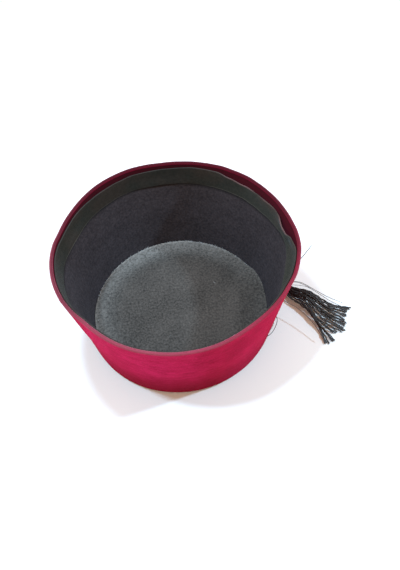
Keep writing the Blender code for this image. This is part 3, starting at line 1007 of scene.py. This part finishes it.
def makeCrownLining():
    low = hat["felt"] + hat["gap"]
    high = low + lining["crownThickness"]
    edge = wallRadius(low, hat["felt"] + hat["gap"] * 2 + lining["wallThickness"])
    inner = edge - lining["crownEdgeBand"]
    profile = fill([(0, low), (edge, low)], lining["crownStep"])
    profile += fill([(edge, high), (inner, high)], lining["crownEdgeStep"])
    profile += fill([(inner, high), (0, high)], lining["crownStep"])[1:]
    bm = spinProfile(profile, False, hat["segments"])
    frayAndPaintedSheenTone = bm.verts.layers.float.new("edge")
    for vert in bm.verts:
        out = edge - math.hypot(vert.co.x, vert.co.y)
        # Narrow fuzzy edge and wide painted sheen, paler by azimuth
        near = sum(smoothStep(1 - out / reach) for reach in lining["frayAndPaintedSheenReach"]) / 2
        vert[frayAndPaintedSheenTone] = near * around(lining["frayAndPaintedSheenTone"], math.atan2(vert.co.y, vert.co.x), 1)
        spot = vert.co / lining["wrinkleLength"]
        wrinkle = noise.noise(Vector((spot.x, spot.y, 4.0))) * lining["wrinkle"]
        vert.co = hatPlace(vert.co)
        vert.co.z += wrinkle + lining["wrinkle"]
    return finishPiece("crown_disc", bm, makeCrownLiningMaterial(), ["crown_lining"])


ribbon = {
    "cut": (0.0155, 0.568),
    "inset": 0.0002,
    "thickness": 0.0009,
    "topDrop": 0.0076,
    "bottomDrop": 0.0209,
    # azimuth in degrees, share of topDrop, share of bottomDrop
    "edges": [
        (-10, 0.28, 0.91), (-1, 0.50, 0.87), (5, 1.00, 0.85), (11, 1.12, 0.88), (16, 0.84, 0.92),
        (22, 0.84, 0.95), (30, 0.95, 1.00), (38, 1.02, 0.99), (46, 1.08, 0.97), (54, 0.84, 0.97),
        (62, 0.62, 0.97), (75, 0.56, 0.95), (90, 0.62, 0.92), (105, 0.68, 0.93), (118, 0.78, 0.94),
        (130, 0.80, 0.97), (150, 0.52, 0.92), (165, 0.45, 0.89), (180, 0.34, 0.85), (230, 0.42, 0.89),
        (285, 0.39, 0.89), (330, 0.37, 0.91),
    ],
    # azimuth in degrees, half its width in degrees, 1 for the upper edge, how far the edge stands off inwards
    "lifts": [
        (155, 24, 0, 0.0009), (30, 14, 1, 0.0009), (55, 12, 1, 0.0008), (6, 18, 1, 0.0031),
        (95, 30, 0, 0.0008), (345, 25, 0, 0.0030), (215, 14, 0, 0.0006), (285, 12, 1, 0.0004),
    ],
    "dark": (0.0090, 0.0080, 0.0069),
    "pale": (0.0275, 0.0245, 0.0212),
    "selvedge": (0.16, 0.085, 0.085),
    # azimuth in degrees, how much of the pale selvedge shows on the upper edge there
    "selvedgeTone": [
        (0, 0.05), (6, 0.8), (13, 0.9), (18, 0.15), (30, 0.45), (35, 0.1), (44, 0.9), (54, 0.6), (64, 0.06),
        (110, 0.05), (150, 0.05), (180, 0.04), (240, 0.1), (300, 0.1),
    ],
    # painted highlight on the ribbon's lower edge: its colour, then by azimuth how much shows
    "lowerEdgeHighlight": (0.105, 0.098, 0.085),
    "lowerHighlightTone": [
        (0, 0.1), (20, 0.6), (45, 0.9), (60, 0.6), (72, 0.05), (110, 0.1), (122, 0.45), (140, 0.45),
        (150, 0.7), (158, 1.0), (168, 0.9), (174, 0.15), (230, 0.05), (300, 0.05),
    ],
    "brown": (0.0300, 0.0205, 0.0145),
    "green": (0.0130, 0.0160, 0.0112),
    # azimuth in degrees, how bright the ribbon's painted light and shade make it there
    "tone": [
        (0, 1.5), (20, 1.65), (38, 1.75), (60, 1.4), (90, 1.0), (135, 1.1), (165, 1.2), (190, 1.1),
        (270, 1.0),
    ],
    "ribs": 780,
    "mottled": (420, 4, 0.65),
    # weights of ribs and mottling
    "weights": (0.2, 0.8),
    "toneRange": (0.36, 0.64),
    "tintScale": 28,
    "tintRange": (0.42, 0.60),
    "tintShare": 0.45,
    "bump": (0.5, 0.00025),
    "roughness": 0.8,
    "sheen": 0.08,
    "specular": 0.15,
    "segments": 480,
    "rows": 12,
    # the rows next to both edges lie this share of the width from them, and the edges' colours end there
    "edgeRow": 0.06,
    # how far over the width a lifted edge bends: all of it stands off at the edge, none further than this
    "liftWidth": 0.625,
    "ripple": 0.0003,
    "ripples": 9,
}


def ribbonEdge(azimuth, column, drop):
    return hat["height"] - around(ribbon["edges"], azimuth, column) * drop


def makeRibbonMaterial():
    made, tree, shader = startMaterial(
        "grey ribbon", ribbon["dark"], ribbon["roughness"], Sheen_Weight=ribbon["sheen"],
        Specular_IOR_Level=ribbon["specular"],
    )
    plain = objectCoords(tree)
    ribs = roundRibs(tree, ribbon["ribs"])
    mottled = speckle(tree, plain, *ribbon["mottled"])
    tone = weighed(tree, list(zip((ribs, mottled), ribbon["weights"])))
    colour = mixColours(tree, spread(tree, tone, *ribbon["toneRange"]), ribbon["dark"], ribbon["pale"])
    clouds = spread(tree, speckle(tree, plain, ribbon["tintScale"], 2), *ribbon["tintRange"])
    tint = mixColours(tree, clouds, ribbon["green"], ribbon["brown"])
    colour = mixColours(tree, ribbon["tintShare"], colour, tint)
    # Painted light and shade on the ribbon, by azimuth
    colour = shadeBy(tree, colour, attribute(tree, "tone"))
    colour = mixColours(tree, attribute(tree, "selvedge"), colour, ribbon["selvedge"])
    # Painted highlight on the ribbon's lower edge
    colour = mixColours(tree, attribute(tree, "lowerEdgeHighlight"), colour, ribbon["lowerEdgeHighlight"])
    tree.links.new(colour, shader.inputs["Base Color"])
    addBump(tree, shader, sums(tree, "ADD", ribs, mottled), *ribbon["bump"])
    return made


def makeRibbon():
    # Spun straight first, with its share of the width as height
    edgeRow, rows = ribbon["edgeRow"], ribbon["rows"]
    shares = [0.0] + [edgeRow + (1 - 2 * edgeRow) * i / (rows - 1) for i in range(rows)] + [1.0]
    outer = hat["rimRadius"]
    inner = outer - ribbon["thickness"]
    profile = [(outer, s) for s in shares] + [(inner, s) for s in reversed(shares)]
    bm = spinProfile(profile, True, ribbon["segments"])
    names = ("selvedge", "lowerEdgeHighlight", "tone")
    selvedge, lowerEdgeHighlight, bright = [bm.verts.layers.float.new(name) for name in names]
    for vert in bm.verts:
        azimuth = math.atan2(vert.co.y, vert.co.x)
        share = vert.co.z
        inset = hat["felt"] + hat["gap"] + ribbon["inset"] + outer - math.hypot(vert.co.x, vert.co.y)
        for degrees, half, edge, amount in ribbon["lifts"]:
            off = abs((math.degrees(azimuth) - degrees + 180) % 360 - 180)
            near = share if edge else 1 - share
            inset += amount * smoothStep(1 - off / half) * smoothStep(1 - (1 - near) / ribbon["liftWidth"])
        top = ribbonEdge(azimuth, 1, ribbon["topDrop"])
        bottom = ribbonEdge(azimuth, 2, ribbon["bottomDrop"])
        spot = Vector((math.cos(azimuth) * ribbon["ripples"], math.sin(azimuth) * ribbon["ripples"], 2.0))
        height = bottom + (top - bottom) * share + noise.noise(spot) * ribbon["ripple"]
        radius = wallRadius(height, inset)
        # Painted light and shade, by azimuth
        vert[bright] = around(ribbon["tone"], azimuth, 1)
        vert[selvedge] = around(ribbon["selvedgeTone"], azimuth, 1) if share > 1 - edgeRow / 2 else 0.0
        # Painted highlight on the lower edge
        vert[lowerEdgeHighlight] = around(ribbon["lowerHighlightTone"], azimuth, 1) if share < edgeRow / 2 else 0.0
        vert.co = hatPlace(Vector((radius * math.cos(azimuth), radius * math.sin(azimuth), height)))
    return finishPiece("inner_ribbon", bm, makeRibbonMaterial(), ["sweatband"])


def makeWallLining():
    # Its upper edge follows the ribbon's lower one
    outer = hat["felt"] + hat["gap"]
    low, top = outer, hat["height"] - ribbon["bottomDrop"] - hat["gap"]
    thick = lining["wallThickness"]
    step = lining["wallStep"]
    profile = fill([(wallRadius(low, outer), low), (wallRadius(top, outer), top)], step)
    profile += fill([(wallRadius(top, outer + thick), top), (wallRadius(low, outer + thick), low)], step)
    bm = spinProfile(profile, True, hat["segments"])
    paintedGapShade = bm.verts.layers.float.new("paintedGapShade")
    for vert in bm.verts:
        azimuth = math.atan2(vert.co.y, vert.co.x)
        # Painted shade just below the lining's top edge
        vert[paintedGapShade] = lining["paintedGapShadeTone"] * smoothStep(1 - (top - vert.co.z) / lining["paintedGapShadeDepth"])
        share = max(0.0, (vert.co.z - hat["liftEnd"]) / (top - hat["liftEnd"]))
        rise = (ribbonEdge(azimuth, 2, ribbon["bottomDrop"]) - hat["gap"] - top) * share
        radius = math.hypot(vert.co.x, vert.co.y) + rise * math.tan(hatSlope)
        vert.co = hatPlace(Vector((radius * math.cos(azimuth), radius * math.sin(azimuth), vert.co.z + rise)))
    return finishPiece("side_lining", bm, makeWallLiningMaterial(), ["wall_lining"])


wallPiece = makeWallLining()
crownPiece = makeCrownLining()
ribbonPiece = makeRibbon()
print("stage 4: linings and ribbon")

# Frayed edge of the crown's lining, and lint
fray = {
    "count": 150,
    "fromDegrees": 30,
    "toDegrees": 165,
    "radius": 0.00012,
    # in metres: where the edge is taken, how high a fibre's root lies, how far in, how high its end stands up
    "edgeHeight": 0.0045,
    "root": 0.0041,
    "inwards": (0.0005, 0.0025),
    "lift": (0.0004, 0.0022),
    "turn": 0.03,
    "seed": 5,
    "colour": (0.30, 0.30, 0.31),
    "paleTimes": 1.5,
    "toneScale": 300,
    "roughness": 0.8,
    "sheen": 0.3,
    "lintRoot": 0.0044,
    # bits of lint on the crown's lining: x and y of one end in mm, length in mm, heading and bow in degrees
    "lint": [
        (-38.5, 60.5, 12.0, 24, 14), (10.5, 71.2, 10.5, -8, 22), (-73.0, -4.7, 1.6, 70, 20),
        (-72.2, -10.4, 1.9, 30, 10), (-46.4, 47.0, 1.6, 15, 10), (-4.9, 44.9, 1.3, 120, 10),
        (31.0, 20.5, 2.6, -35, 25), (-12.0, -31.0, 1.8, 60, 20),
    ],
}


def makeFray():
    chance = random.Random(fray["seed"])
    bm = bmesh.new()
    ring = plyRing(fray["radius"], 1, 0, 4)
    edge = wallRadius(fray["edgeHeight"], hat["felt"] + hat["gap"] * 2 + lining["wallThickness"])
    for _ in range(fray["count"]):
        azimuth = math.radians(chance.uniform(fray["fromDegrees"], fray["toDegrees"]))
        turn = azimuth + chance.uniform(-fray["turn"], fray["turn"])
        lift = chance.uniform(*fray["lift"])
        inner = edge - chance.uniform(*fray["inwards"])
        base = fray["root"] + crownLift(edge, azimuth)
        middle = (azimuth + turn) / 2
        points = [
            Vector((inner * math.cos(azimuth), inner * math.sin(azimuth), base)),
            Vector((edge * math.cos(middle), edge * math.sin(middle), base + lift * 0.4)),
            Vector((edge * math.cos(turn), edge * math.sin(turn), base + lift)),
        ]
        sweep(bm, smoothPath(points, 6), ring, 0)
    for x, y, length, heading, bow in fray["lint"]:
        points = [Vector((x, y, 0)) * mm]
        for bend in (-bow, bow):
            turn = math.radians(heading - bend)
            points.append(points[-1] + Vector((math.cos(turn), math.sin(turn), 0)) * length / 2 * mm)
        for point in points:
            point.z = fray["lintRoot"] + crownLift(math.hypot(point.x, point.y), math.atan2(point.y, point.x))
        sweep(bm, smoothPath(points, 5), ring, 0)
    made, tree, shader = startMaterial(
        "pale fibre", fray["colour"], fray["roughness"], Sheen_Weight=fray["sheen"],
    )
    tone = speckle(tree, objectCoords(tree), fray["toneScale"], 2)
    pale = tuple(c * fray["paleTimes"] for c in fray["colour"])
    tree.links.new(mixColours(tree, tone, fray["colour"], pale), shader.inputs["Base Color"])
    finishPiece("frayed_edge", bm, made, (), 80)


makeFray()
makeThreads("hat_loose_threads", looseThreads["hat"], threadFinish)
print("stage 5: fibres and loose threads")


def makeFloor():
    bm = bmesh.new()
    bmesh.ops.create_grid(bm, x_segments=1, y_segments=1, size=studio["floorHalf"])
    bmesh.ops.translate(bm, verts=bm.verts, vec=(0, 0, -studio["floorDrop"]))
    mesh = bpy.data.meshes.new("floor")
    bm.to_mesh(mesh)
    bm.free()
    finish = startMaterial(
        "white table", studio["floorColour"], studio["floorRoughness"],
        Specular_IOR_Level=studio["floorSpecular"],
    )
    mesh.materials.append(finish[0])
    floor = bpy.data.objects.new("floor", mesh)
    bpy.context.scene.collection.objects.link(floor)


makeFloor()
print("stage 6: floor")
